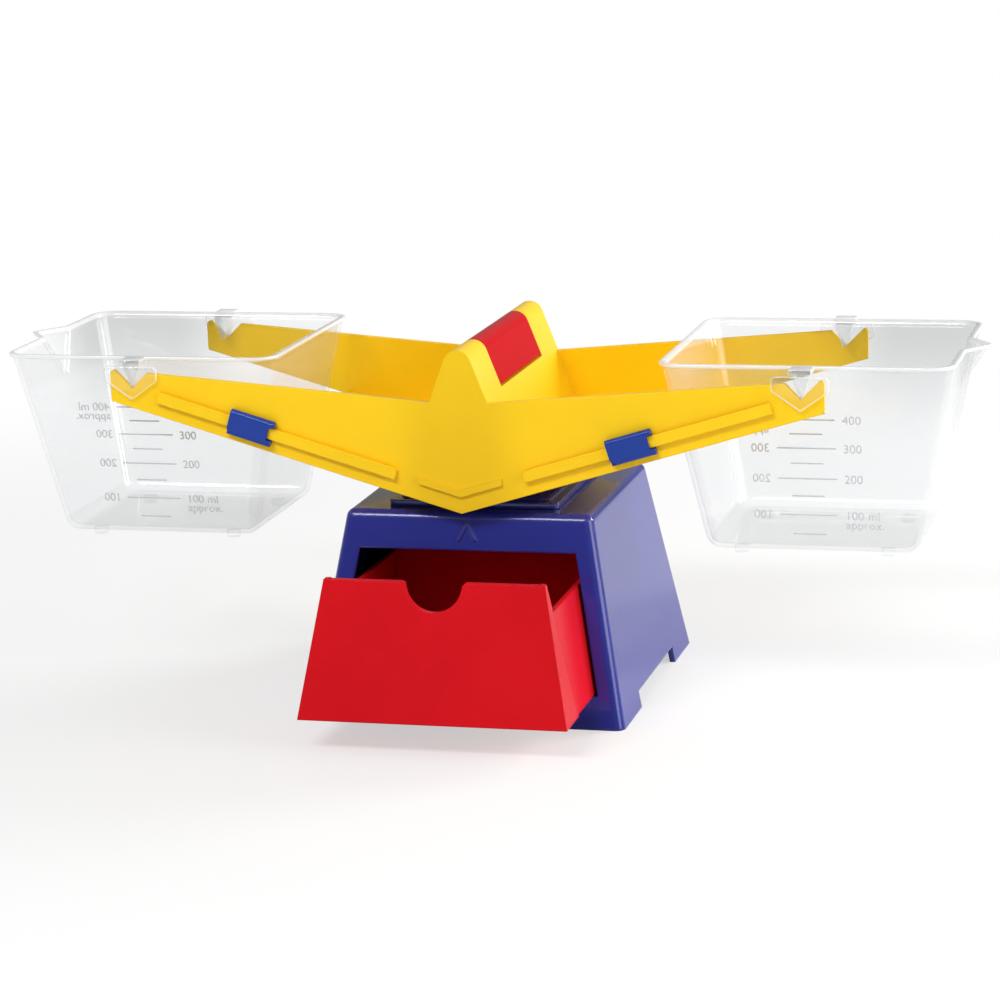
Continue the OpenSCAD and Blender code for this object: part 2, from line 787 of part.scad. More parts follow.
// Pouring spout: a pointed lip whose keel runs down into the wall, drawn in by an inset
module spout(inset, above) {
    rim_x = bucket_w / 2 - bucket_wall;
    keel_x = rim_x - spout_drop * keel_slope;
    tip_r = bucket_wall / 2;
    hull() {
        translate([0, 0, bucket_rim_level + above - disc_t]) {
            translate([bucket_w / 2 + spout_reach - tip_r - inset * 2, 0, 0])
                cylinder(r = tip_r, h = disc_t, $fn = hull_fn);
            for (side = [-1, 1]) translate([rim_x - inset, side * (spout_half - tip_r - inset), 0])
                cylinder(r = tip_r, h = disc_t, $fn = hull_fn);
        }
        translate([keel_x - inset, 0, bucket_rim_level - spout_drop + inset])
            sphere(r = tip_r, $fn = hull_fn);
    }
}

// Shield outside the side plate, pointed at the bottom
module shield_outline() {
    half = shield_w / 2;
    shoulder = shield_top_z - shield_side;
    polygon([[-half, shoulder], [0, shield_top_z - shield_h], [half, shoulder]]);
    translate([-half, shoulder]) square([shield_w, shield_side - shield_r]);
    translate([shield_r - half, shoulder]) square([shield_w - 2 * shield_r, shield_side]);
    for (side = [-1, 1]) translate([side * (half - shield_r), shield_top_z - shield_r]) circle(shield_r);
}

// Knife that hangs in the notch: a round edge with flaring flanks
module knife_outline() {
    tangent_z = swing_z - knife_r * sin(knife_angle);
    low_half = knife_r * cos(knife_angle);
    top_half = low_half + (bridge_low_z - tangent_z) * tan(knife_angle);
    translate([0, swing_z]) circle(knife_r);
    polygon([[-low_half, tangent_z], [low_half, tangent_z],
             [top_half, bridge_low_z], [-top_half, bridge_low_z]]);
}

// Bridge, knife and shield of one hanger, at the front
module hanger() {
    wall_y = bucket_low_d / 2 - bucket_wall;
    along_y(-shield_out_y, -wall_y) knife_outline();
    translate([-bridge_w / 2, -shield_out_y, bridge_low_z])
        cube([bridge_w, shield_out_y - wall_y, bridge_t]);
    along_y(-shield_out_y, -shield_in_y) shield_outline();
}

module bucket() {
    inner_rim_r = bucket_rim_r - bucket_wall;
    inner_low_r = bucket_low_r - bucket_wall;
    color(clear) translate([hang_x, 0, 0]) difference() {
        union() {
            tub(0, 0, bucket_rim_r, bucket_low_r);
            translate([0, 0, bucket_rim_level - bead_h]) linear_extrude(bead_h)
                round_rect(bucket_w, bucket_d, bucket_rim_r + bead_out);
            spout(0, 0);
            front_and_back() hanger();
            translate([0, 0, bucket_low_z - bucket_foot_h]) corners(bucket_foot_at, bucket_foot_at)
                cylinder(r = bucket_foot_r, h = bucket_foot_h + bucket_wall / 2);
        }
        tub(bucket_wall, over, inner_rim_r, inner_low_r);
        spout(bucket_wall / 2, over);
    }
}

module bucket_left() {
    placed() mirror([1, 0, 0]) bucket();
}

module bucket_right() {
    placed() bucket();
}

base_housing();
base_floor();
floor_screws();
fulcrum_post();
post_screws();
pivot_pin();
drawer();
beam();
ridge_bearing();
slider_left();
slider_right();
bucket_left();
bucket_right();
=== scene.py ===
import json
import math

import bpy
import numpy as np
from mathutils import Matrix, Vector


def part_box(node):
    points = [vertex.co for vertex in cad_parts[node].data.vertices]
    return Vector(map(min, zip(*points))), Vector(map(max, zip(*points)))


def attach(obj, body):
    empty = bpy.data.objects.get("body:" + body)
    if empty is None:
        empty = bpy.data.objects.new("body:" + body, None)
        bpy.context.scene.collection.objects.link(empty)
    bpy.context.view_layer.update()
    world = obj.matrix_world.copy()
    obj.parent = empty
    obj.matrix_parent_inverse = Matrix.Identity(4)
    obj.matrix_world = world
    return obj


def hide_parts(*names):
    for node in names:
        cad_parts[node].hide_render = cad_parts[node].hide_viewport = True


bl_info = {
    "name": "Bucket balance",
    "version": (1, 0, 0),
    "blender": (4, 5, 0),
    "location": "3D View > Sidebar > Balance",
    "description": "Dresses a bucket balance: moulded plastics, clear measuring buckets and a white studio",
    "category": "Object",
}

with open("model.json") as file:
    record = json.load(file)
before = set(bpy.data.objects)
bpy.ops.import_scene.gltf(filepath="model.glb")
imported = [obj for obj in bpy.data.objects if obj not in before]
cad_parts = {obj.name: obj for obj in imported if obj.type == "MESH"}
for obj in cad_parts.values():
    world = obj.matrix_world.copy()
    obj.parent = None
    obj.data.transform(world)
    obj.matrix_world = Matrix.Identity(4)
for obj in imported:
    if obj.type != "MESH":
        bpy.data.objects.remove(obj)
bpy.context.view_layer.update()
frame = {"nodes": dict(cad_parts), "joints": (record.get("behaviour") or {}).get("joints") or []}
NODES = frame["nodes"]
MM = 0.001

# Places that the solids give: the right bucket, the beam's end, the buckets' swing and the middle
RIGHT_LOW, RIGHT_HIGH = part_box("bucket_right")
BEAM_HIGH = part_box("beam")[1]
JOINTS = {joint["name"]: joint for joint in frame["joints"]}
BUCKET_X = JOINTS["bucket_right_swing"]["pos_m"][0]
SWING_Z = JOINTS["bucket_right_swing"]["pos_m"][2]
MIDDLE_Y = JOINTS["beam_tilt"]["pos_m"][1]
SIDES = {"right": 1.0, "left": -1.0}


# Properties

def length(name, description, default):
    return bpy.props.FloatProperty(name=name, description=description, default=default, unit="LENGTH",
                                   precision=5)


def colour(name, description, default):
    return bpy.props.FloatVectorProperty(name=name, description=description, default=default, size=3,
                                         subtype="COLOR", min=0.0, max=1.0)


def angle(name, description, degrees):
    return bpy.props.FloatProperty(name=name, description=description, default=math.radians(degrees),
                                   subtype="ANGLE")


def power(name, description, default):
    return bpy.props.FloatProperty(name=name, description=description, default=default, min=0.0,
                                   subtype="POWER")


class PlasticColours(bpy.types.PropertyGroup):
    """Colours of the moulded plastics."""

    blue: colour("Blue", "Base, floor and post", (0.022, 0.028, 0.250))
    bright_blue: colour("Bright blue", "Sliders", (0.010, 0.042, 0.300))
    yellow: colour("Yellow", "Beam", (0.960, 0.610, 0.006))
    red: colour("Red", "Drawer", (0.610, 0.008, 0.014))
    # painted shade: the drawer's red made darker for the ridge bearing, which the lamps light more
    deep_red: colour("Shaded red", "Ridge bearing", (0.480, 0.006, 0.010))
    clear: colour("Clear", "Walls of the buckets", (0.984, 0.989, 0.991))
    marks: colour("Marks", "Lines and numbers on the buckets", (0.560, 0.580, 0.600))


class EdgeSizes(bpy.types.PropertyGroup):
    """Rounding with which the edges of each piece catch the light."""

    base: length("Base", "Rounding of the base's edges", 1.4 * MM)
    beam: length("Beam", "Rounding of the beam's edges", 0.6 * MM)
    drawer: length("Drawer", "Rounding of the drawer's and the ridge bearing's edges", 0.8 * MM)
    small: length("Small pieces", "Rounding of the sliders, the pin and the screws", 0.4 * MM)


class BucketSizes(bpy.types.PropertyGroup):
    """Sizes of one clear bucket."""

    wall: length("Wall", "Thickness of the walls", 1.8 * MM)
    depth: length("Depth", "Height from the floor to the rim", 80.6 * MM)
    rim_w: length("Rim width", "Width of the rim along the beam", 120.6 * MM)
    rim_d: length("Rim depth", "Depth of the rim", 113.6 * MM)
    low_w: length("Floor width", "Width above the rounding of the floor's edge", 89.6 * MM)
    low_d: length("Floor depth", "Depth above the rounding of the floor's edge", 82.0 * MM)
    rim_r: length("Rim corner", "Corner rounding at the rim", 9.0 * MM)
    low_r: length("Floor corner", "Rounding of the floor's corners and edge", 7.0 * MM)
    bead_h: length("Bead height", "Height of the bead round the rim", 1.6 * MM)
    bead_out: length("Bead", "How far the bead stands out", 0.8 * MM)
    spout_reach: length("Spout reach", "Reach of the spout beyond the rim", 9.5 * MM)
    spout_half: length("Spout half width", "Half the width of the spout at the rim", 14.0 * MM)
    spout_drop: length("Spout drop", "Drop of the spout's keel below the rim", 19.0 * MM)
    foot_r: length("Foot radius", "Radius of the feet", 3.0 * MM)
    foot_h: length("Foot height", "Height of the feet", 2.4 * MM)
    foot_at: length("Foot place", "Distance from the middle to the feet", 30.4 * MM)


class HangerSizes(bpy.types.PropertyGroup):
    """Sizes of the hangers that carry a bucket in the beam's notches."""

    bridge_w: length("Bridge width", "Width of the bridge over the side plate", 9.4 * MM)
    bridge_t: length("Bridge thickness", "Thickness of the bridge", 2.2 * MM)
    shield_w: length("Shield width", "Width of the shield", 23.4 * MM)
    shield_t: length("Shield thickness", "Thickness of the shield", 1.8 * MM)
    shield_side: length("Shield side", "Height of the shield's straight sides", 6.0 * MM)
    shield_h: length("Shield height", "Height of the shield", 14.2 * MM)
    shield_drop: length("Shield drop", "Step down from the rim to the shield", 2.9 * MM)
    knife_r: length("Knife edge", "Rounding of the knife edge", 0.5 * MM)
    knife_angle: angle("Knife angle", "Half angle of the knife", 22.0)


class MarkSizes(bpy.types.PropertyGroup):
    """Sizes of the lines and numbers on a bucket's wall."""

    line_h: length("Line height", "Height of a line", 0.55 * MM)
    long_half: length("Long line", "Half the length of a line with a number", 12.1 * MM)
    short_half: length("Short line", "Half the length of a line between", 6.8 * MM)
    number_h: length("Number height", "Height of the numbers", 3.6 * MM)
    number_x: length("Number place", "Distance from the middle to the numbers", 14.9 * MM)
    relief: length("Relief", "How far the marks stand out", 0.12 * MM)


class StudioSettings(bpy.types.PropertyGroup):
    """Camera and light."""

    azimuth: angle("Azimuth", "Turn of the camera about the balance", 14.81)
    elevation: angle("Elevation", "Height angle of the camera", 12.70)
    roll: angle("Roll", "Roll of the camera", -1.86)
    distance: length("Distance", "Distance from the camera to its target", 1406.3 * MM)
    target_z: length("Target height", "Height of the point that the camera looks at", 79.63 * MM)
    lens: bpy.props.FloatProperty(name="Lens", description="Focal length in millimetres", default=117.5)
    world_light: bpy.props.FloatProperty(name="World light", description="Light from all round",
                                         default=0.30, min=0.0)
    key_power: power("Key power", "Power of the lamp above the front", 17.0)
    side_power: power("Side power", "Power of the lamp on the right", 17.0)
    rear_power: power("Rear power", "Power of the lamp behind on the right", 25.0)


GROUPS = {"plastic_colours": PlasticColours, "edge_sizes": EdgeSizes, "bucket_sizes": BucketSizes,
          "hanger_sizes": HangerSizes, "mark_sizes": MarkSizes, "studio_settings": StudioSettings}


# Shader maths

class Value:
    """A shader socket that works in Python expressions: each operator adds its own Math node."""

    def __init__(self, graph, socket):
        self.graph = graph
        self.socket = socket

    def math(self, operation, *operands):
        node = self.graph.node("ShaderNodeMath", {"operation": operation}, *operands)
        return node.value()

    def __add__(self, other):
        return self.math("ADD", self, other)

    def __sub__(self, other):
        return self.math("SUBTRACT", self, other)

    def __rsub__(self, other):
        return self.math("SUBTRACT", other, self)

    def __mul__(self, other):
        return self.math("MULTIPLY", self, other)

    def __pow__(self, other):
        return self.math("POWER", self, other)

    __radd__ = __add__
    __rmul__ = __mul__

    def __abs__(self):
        return self.math("ABSOLUTE", self)

    def smooth(self, low, high):
        """0 below low, 1 above high and a smooth step between."""
        settings = {"interpolation_type": "SMOOTHSTEP"}
        return self.graph.node("ShaderNodeMapRange", settings, Value=self, From_Min=low,
                               From_Max=high).value("Result")


class Placed:
    """A node of a graph, whose outputs are read by name."""

    def __init__(self, graph, node):
        self.graph = graph
        self.node = node

    def value(self, name=0):
        return Value(self.graph, self.node.outputs[name])


class Graph:
    """The node tree of one material or world."""

    def __init__(self, owner):
        owner.use_nodes = True
        self.tree = owner.node_tree
        self.tree.nodes.clear()

    def node(self, kind, settings=None, *by_place, **by_name):
        """Adds a node: its settings first, then values or links for its sockets by place or by name."""
        made = self.tree.nodes.new(kind)
        for name, setting in (settings or {}).items():
            setattr(made, name, setting)
        self.fill(made, dict(enumerate(by_place)))
        self.fill(made, {name.replace("_", " "): value for name, value in by_name.items()})
        return Placed(self, made)

    def fill(self, node, inputs):
        """Links or sets the inputs of a node."""
        for key, value in inputs.items():
            if isinstance(value, Value):
                self.tree.links.new(value.socket, node.inputs[key])
            else:
                node.inputs[key].default_value = value

    def mix(self, share, first, second):
        """Colour between two colours, which are inputs 6 and 7 of the node and give its output 2."""
        made = self.node("ShaderNodeMix", {"data_type": "RGBA"}, share)
        self.fill(made.node, {6: first, 7: second})
        return made.value(2)

    def place(self):
        """Object coordinates, which are the balance's own because every piece sits at the origin."""
        return self.node("ShaderNodeTexCoord").value("Object")

    def axes(self):
        """X, Y and Z of the Object coordinates."""
        parts = self.node("ShaderNodeSeparateXYZ", None, self.place())
        return parts.value("X"), parts.value("Y"), parts.value("Z")

    def noise(self, scale, detail=2.0):
        """Noise on Object coordinates, in features per metre."""
        return self.node("ShaderNodeTexNoise", None, Vector=self.place(), Scale=scale, Detail=detail).value(0)

    def bump(self, height, depth, **normal):
        """Normal of a relief whose height runs from 0 to 1 over the depth given in metres."""
        return self.node("ShaderNodeBump", None, Height=height, Distance=depth, **normal).value()

    def blend(self, share, first, second):
        """Shader between two shaders."""
        return self.node("ShaderNodeMixShader", None, share, first, second).value()

    def surface(self, shader):
        self.node("ShaderNodeOutputMaterial", None, Surface=shader)


def rgba(colour_value, gain=1.0):
    return tuple(min(1.0, channel * gain) for channel in colour_value) + (1.0,)


def moulded_plastic(name, tint, roughness, specular, edge, cloud=0.04, middle=0.0):
    """Glossy moulded plastic: a faint cloud in its colour, flow marks in its gloss, a fine orange peel, and
    edges that catch the light as if rounded. A painted shade can make the colour deeper in the middle of
    the balance, by the share middle."""
    gloss_range = 0.1
    peel_depth = 0.008 * MM
    middle_shade_half, middle_shade_end = 10 * MM, 30 * MM
    material = bpy.data.materials.new(name)
    graph = Graph(material)
    clouds = graph.noise(scale=22.0, detail=3.0).smooth(low=0.3, high=0.7)
    tone = graph.mix(clouds, rgba(tint, gain=1.0 - cloud), rgba(tint, gain=1.0 + cloud))
    # painted shade: in the middle of the balance the colour is mixed by the share middle towards half its
    # brightness
    if middle:
        outside_shade = abs(graph.axes()[0]).smooth(middle_shade_half, middle_shade_end)
        tone = graph.mix((1.0 - outside_shade) * middle, tone, rgba(tint, gain=0.5))
    gloss = roughness + (graph.noise(scale=140.0) - 0.5) * gloss_range
    soft = graph.node("ShaderNodeBevel", {"samples": 6}, Radius=edge).value()
    normal = graph.bump(graph.noise(scale=900.0, detail=1.0), peel_depth, Normal=soft)
    shader = graph.node("ShaderNodeBsdfPrincipled", None, Base_Color=tone, Roughness=gloss, IOR=1.5,
                        Specular_IOR_Level=specular, Normal=normal)
    graph.surface(shader.value())
    return material


def clear_plastic(name, tint, bucket, edge=0.0):
    """Clear polished plastic with walls so thin that light goes straight through. It is greyer where a wall
    is seen along its length, and a painted shade greys it near the rim at the back, most so at the outer
    end. A painted sheen whitens it near the rim at the front, and a painted highlight whitens the bead and
    the share given for an edge. It mirrors 0.03 + 0.4 (1 - cosine) ^ 5."""
    # back_shade and outer_shade set a painted shade near the rim at the back
    back_shade, outer_shade, glance_grey = 0.06, 0.74, 0.15
    # front_sheen and bead_highlight set a painted sheen near the rim at the front and a painted highlight on
    # the bead
    front_sheen, bead_highlight, glance_veil, flow_veil = 0.06, 0.55, 0.15, 0.02
    least_mirror, glance_mirror = 0.03, 0.4
    half_d = bucket.rim_d / 2
    material = bpy.data.materials.new(name)
    graph = Graph(material)
    x, y, z = graph.axes()
    hanging = abs(y - MIDDLE_Y).smooth(half_d, half_d + 2 * MM)
    high = (z - RIGHT_HIGH.z + bucket.depth).smooth(bucket.depth * 0.3, bucket.depth) * (1.0 - hanging)
    lip = (z - RIGHT_HIGH.z).smooth(bucket.bead_h * -1.2, bucket.bead_h * -0.8) * (1.0 - hanging)
    back = (y - MIDDLE_Y).smooth(-15 * MM, 45 * MM)
    outer = abs(x).smooth(BEAM_HIGH.x - 25 * MM, BEAM_HIGH.x + 15 * MM)
    glance = graph.node("ShaderNodeLayerWeight", None, Blend=0.5).value("Facing")
    flow = graph.noise(scale=30.0)
    clear = graph.node("ShaderNodeBsdfTransparent", None, Color=rgba(tint)).value()
    grey_through = graph.node("ShaderNodeBsdfTransparent", None, Color=rgba(tint, gain=0.8)).value()
    haze_and_sheen = graph.node("ShaderNodeBsdfPrincipled", None, Base_Color=(0.90, 0.91, 0.92, 1.0),
                       Roughness=0.25 + flow * 0.1).value()
    shine = graph.node("ShaderNodeBsdfGlossy", None, Color=(1.0, 1.0, 1.0, 1.0), Roughness=0.03).value()
    # painted shade: the walls grey near the rim at the back, most at the outer end; a grazing view greys them
    # too
    greyed = high * back * (back_shade + outer * outer_shade) + glance ** 3.0 * glance_grey
    # painted sheen near the rim at the front, painted highlight on the bead and by the edge share; flow adds
    # a random haze
    veil = (high * (1.0 - back) * front_sheen + lip * bead_highlight + glance ** 4.0 * glance_veil
            + flow * flow_veil + edge)
    body = graph.blend(veil, graph.blend(greyed, clear, grey_through), haze_and_sheen)
    graph.surface(graph.blend(least_mirror + glance ** 5.0 * glance_mirror, body, shine))
    return material


def frosted_marks(name, tint):
    """Raised marks that the mould leaves matt, so they show pale against the clear wall."""
    material = bpy.data.materials.new(name)
    graph = Graph(material)
    speck = graph.noise(scale=2500.0, detail=1.0)
    speck_depth = 0.03 * MM
    tone = graph.mix(speck, rgba(tint, gain=0.93), rgba(tint))
    shader = graph.node("ShaderNodeBsdfPrincipled", None, Base_Color=tone, Roughness=0.45,
                        Normal=graph.bump(speck, speck_depth))
    graph.surface(shader.value())
    return material


def drawn_steel(name, edge):
    """Bright steel with fine drawing lines along the pin and edges that catch the light."""
    material = bpy.data.materials.new(name)
    graph = Graph(material)
    along = graph.node("ShaderNodeMapping", None, Vector=graph.place(), Scale=(900.0, 12.0, 900.0)).value()
    lines = graph.node("ShaderNodeTexNoise", None, Vector=along, Scale=2.0).value(0)
    dark_steel, light_steel = (0.50, 0.51, 0.53, 1.0), (0.66, 0.67, 0.69, 1.0)
    tone = graph.mix(lines, dark_steel, light_steel)
    soft = graph.node("ShaderNodeBevel", {"samples": 4}, Radius=edge).value()
    shader = graph.node("ShaderNodeBsdfPrincipled", None, Base_Color=tone, Metallic=1.0,
                        Roughness=0.24 + lines * 0.12, Normal=soft)
    graph.surface(shader.value())
    return material


# Meshes

def edge_faces(piece, bucket):
    """Gives the second material, which paints a highlight, to the faces round the outline of the hangers:
    those beyond the rim whose normal doesn't point along Y."""
    past_rim, flat_y = 1.0 * MM, 0.9
    faces = piece.data.polygons
    normal, centre = np.empty((len(faces), 3)), np.empty((len(faces), 3))
    faces.foreach_get("normal", normal.ravel())
    faces.foreach_get("center", centre.ravel())
    beyond = np.abs(centre[:, 1] - MIDDLE_Y) > bucket.rim_d / 2 + past_rim
    faces.foreach_set("material_index", (beyond & (np.abs(normal[:, 1]) < flat_y)).astype(np.int32))


def new_piece(name, points, faces, material, body, smooth=True):
    """Object at the origin from points and faces, riding on a body."""
    mesh = bpy.data.meshes.new(name)
    mesh.from_pydata(np.asarray(points).tolist(), [], faces)
    if smooth:
        mesh.shade_smooth()
    else:
        mesh.shade_flat()
    mesh.materials.append(material)
    mesh.validate()
    piece = bpy.data.objects.new(name, mesh)
    bpy.context.scene.collection.objects.link(piece)
    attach(piece, body)
    return piece


def joined(parts):
    """One list of points and one of faces from several shells."""
    points, faces, start = [], [], 0
    for part_points, part_faces in parts:
        points.append(part_points)
        faces.extend([[index + start for index in face] for face in part_faces])
        start += len(part_points)
    return np.concatenate(points), faces


def loft(rows):
    """Shell through a stack of closed rings (rows, points, 3), with a flat face on its first and last."""
    count, around = rows.shape[:2]
    row = np.arange(count - 1)[:, None] * around
    here = np.arange(around)[None, :]
    there = (here + 1) % around
    quads = np.stack([row + here, row + there, row + around + there, row + around + here], axis=-1)
    first = list(range(around - 1, -1, -1))
    last = list(range((count - 1) * around, count * around))
    return rows.reshape(-1, 3), quads.reshape(-1, 4).tolist() + [first, last]


def rounded(corners, radii, steps=6):
    """Outline with an arc on each corner: the arc's centre lies on the corner's bisector, a radius from both
    edges, and the arc turns from one edge's normal to the other's."""
    corners = np.asarray(corners, float)
    radii = np.broadcast_to(np.asarray(radii, float), len(corners))
    arrive = corners - np.roll(corners, 1, axis=0)
    arrive /= np.linalg.norm(arrive, axis=1, keepdims=True)
    leave = np.roll(corners, -1, axis=0) - corners
    leave /= np.linalg.norm(leave, axis=1, keepdims=True)
    turn = np.arctan2(arrive[:, 0] * leave[:, 1] - arrive[:, 1] * leave[:, 0], (arrive * leave).sum(1))
    side = np.sign(turn)[:, None]
    inward = np.stack([-arrive[:, 1], arrive[:, 0]], axis=1) * side
    centre = corners - arrive * (radii * np.tan(np.abs(turn) / 2))[:, None] + inward * radii[:, None]
    start = np.arctan2(-inward[:, 1], -inward[:, 0])
    swept = start[:, None] + turn[:, None] * np.linspace(0, 1, steps)[None, :]
    arc = np.stack([np.cos(swept), np.sin(swept)], axis=-1) * radii[:, None, None]
    return (centre[:, None, :] + arc).reshape(-1, 2)


def inset(outline, amount):
    """Outline moved inwards: each point goes along the mitre of its two edges' normals, which is held back
    at sharp corners."""
    least_length, least_mitre = 1e-12, 0.2
    edge = np.roll(outline, -1, axis=0) - outline
    edge /= np.maximum(np.linalg.norm(edge, axis=1, keepdims=True), least_length)
    normal = np.stack([-edge[:, 1], edge[:, 0]], axis=1)
    before = np.roll(normal, 1, axis=0)
    mitre = (normal + before) / np.maximum(1.0 + (normal * before).sum(1, keepdims=True), least_mitre)
    return outline + mitre * amount


def slab(outline, y0, y1, fillet, steps=4):
    """Plate with an outline in X and Z, from y0 to y1, whose two rims are quarter rounds."""
    turn = np.linspace(0, math.pi / 2, steps)
    depth = fillet * (1 - np.sin(turn))
    lift = fillet * (1 - np.cos(turn))
    levels = np.concatenate([y0 + lift, y1 - lift[::-1]])
    insets = np.concatenate([depth, depth[::-1]])
    flat = np.stack([inset(outline, amount) for amount in insets])
    rows = np.stack([flat[..., 0], np.broadcast_to(levels[:, None], flat.shape[:2]), flat[..., 1]], axis=-1)
    return loft(rows[::-1])


def turned(radii, heights):
    """Body of revolution about Z through the radii given at the heights given, bottom first."""
    around = 40
    turn = np.arange(around) / around * 2 * math.pi
    rows = np.stack([radii[:, None] * np.cos(turn), radii[:, None] * np.sin(turn),
                     np.broadcast_to(heights[:, None], (len(heights), around))], axis=-1)
    return loft(rows)


def moved(part, offset):
    return part[0] + np.asarray(offset), part[1]


def mirrored(part, axis):
    """The part seen in a mirror across an axis, with its faces turned so that they still point outwards."""
    points = part[0].copy()
    points[:, axis] *= -1
    return points, [face[::-1] for face in part[1]]


# Bucket

def rim_walk(spout_share):
    """Walk round a rounded rectangle: for each point, the share of the half sizes at its corner centre and
    the angle of its normal. The side that carries the spout has finer steps there."""
    fine_points, coarse_points, plain_points, arc_points = 61, 10, 30, 11
    fine = np.linspace(-spout_share, spout_share, fine_points)
    coarse = np.linspace(spout_share, 1.0, coarse_points)[1:]
    spout_side = np.concatenate([-coarse[::-1], fine, coarse])
    plain_side = np.linspace(-1, 1, plain_points)
    arc = np.linspace(0, math.pi / 2, arc_points)[1:-1]
    shares_x, shares_y, angles = [], [], []
    for quarter in range(4):
        along = spout_side if quarter == 0 else plain_side
        across = np.ones_like(along)
        turns = ((across, along), (-along, across), (-across, -along), (along, -across))
        side_x, side_y = turns[quarter]
        shares_x += [side_x, np.full_like(arc, side_x[-1])]
        shares_y += [side_y, np.full_like(arc, side_y[-1])]
        angles += [np.full_like(along, quarter * math.pi / 2), arc + quarter * math.pi / 2]
    return np.concatenate(shares_x), np.concatenate(shares_y), np.concatenate(angles)


def wall_rows(sizes, inward):
    """Half width, half depth, corner rounding and height up one face of the wall, which lies inward of the
    outer one: a quarter round from the flat floor, turning through -90 degrees + (90 - lean) t, and from
    there a straight slope to the rim. The slope leans atan(run / climb) - asin(r / distance), so it meets the
    round in one line."""
    round_rows, slope_rows, least_corner = 12, 40, 0.05 * MM
    low_r = sizes.low_r - inward
    rim_r = sizes.rim_r - inward
    centre = np.array([sizes.low_w, sizes.low_d]) / 2 - sizes.low_r
    rim_half = np.array([sizes.rim_w, sizes.rim_d]) / 2 - sizes.bead_out - inward
    run = rim_half - centre
    climb = sizes.depth - sizes.low_r
    lean = np.arctan2(run, climb) - np.arcsin(low_r / np.hypot(run, climb))
    turn = (math.pi / 2 - lean) * np.linspace(0, 1, round_rows)[:, None] - math.pi / 2
    round_half = centre + low_r * np.cos(turn)
    round_z = sizes.low_r + low_r * np.sin(turn).mean(1)
    round_corner = low_r * np.cos(turn).mean(1)
    rise = np.linspace(0, 1, slope_rows)[1:]
    half = np.concatenate([round_half, round_half[-1] + (rim_half - round_half[-1]) * rise[:, None]])
    height = np.concatenate([round_z, round_z[-1] + (sizes.depth - round_z[-1]) * rise])
    corner = np.concatenate([round_corner, round_corner[-1] + (rim_r - round_corner[-1]) * rise])
    return half, np.maximum(corner, least_corner), height


def bucket_shell(sizes):
    """Wall of one bucket in its own frame, with its floor at zero and its spout along +X: up the outside,
    over the bead and down the inside. The spout pushes the wall out by reach * (rise - |y| / half width)
    where that is above zero, with rise going from 0 at the keel to 1 at the rim. The keel and the line where
    the push starts are rounded: |y| is sqrt(y^2 + blunt^2) - blunt, and a push p is
    (p + sqrt(p^2 + ease^2)) / 2."""
    bead_rows, bulge, inner_step = 9, 0.6, 0.1 * MM
    blunt, ease, least_push, spout_reaches = 0.9 * MM, 0.03, 0.01, 1.3
    outer_half, outer_corner, outer_z = wall_rows(sizes, 0.0)
    inner_half, inner_corner, inner_z = wall_rows(sizes, sizes.wall)
    rim = outer_half[-1]
    turn = np.linspace(-math.pi / 2, math.pi / 2, bead_rows)[:, None]
    bead_r = sizes.bead_h / 2
    bead_half = rim + sizes.bead_out - bead_r * bulge + bead_r * bulge * np.cos(turn)
    bead_z = sizes.depth - bead_r + bead_r * np.sin(turn[:, 0])
    keep = outer_z < sizes.depth - sizes.bead_h
    bead_corner = np.full(len(bead_z), outer_corner[-1] + sizes.bead_out)
    half = np.concatenate([outer_half[keep], bead_half, inner_half[::-1]])
    corner = np.concatenate([outer_corner[keep], bead_corner, inner_corner[::-1]])
    height = np.concatenate([outer_z[keep], bead_z, np.minimum(inner_z, sizes.depth - inner_step)[::-1]])
    share_x, share_y, facing = rim_walk(spout_share=0.32)
    x = share_x * (half[:, :1] - corner[:, None]) + corner[:, None] * np.cos(facing)
    y = share_y * (half[:, 1:] - corner[:, None]) + corner[:, None] * np.sin(facing)
    rise = np.clip((height - sizes.depth + sizes.spout_drop) / sizes.spout_drop, 0, 1)[:, None]
    push = rise - (np.sqrt(y ** 2 + blunt ** 2) - blunt) / sizes.spout_half
    push = 0.5 * (push + np.sqrt(push ** 2 + ease ** 2))
    spout = (facing == 0.0)[None, :] & (np.abs(y) < sizes.spout_half * spout_reaches) & (push > least_push)
    x = x + np.where(spout, sizes.spout_reach * (push - least_push), 0)
    return loft(np.stack([x, y, np.broadcast_to(height[:, None], x.shape)], axis=-1))


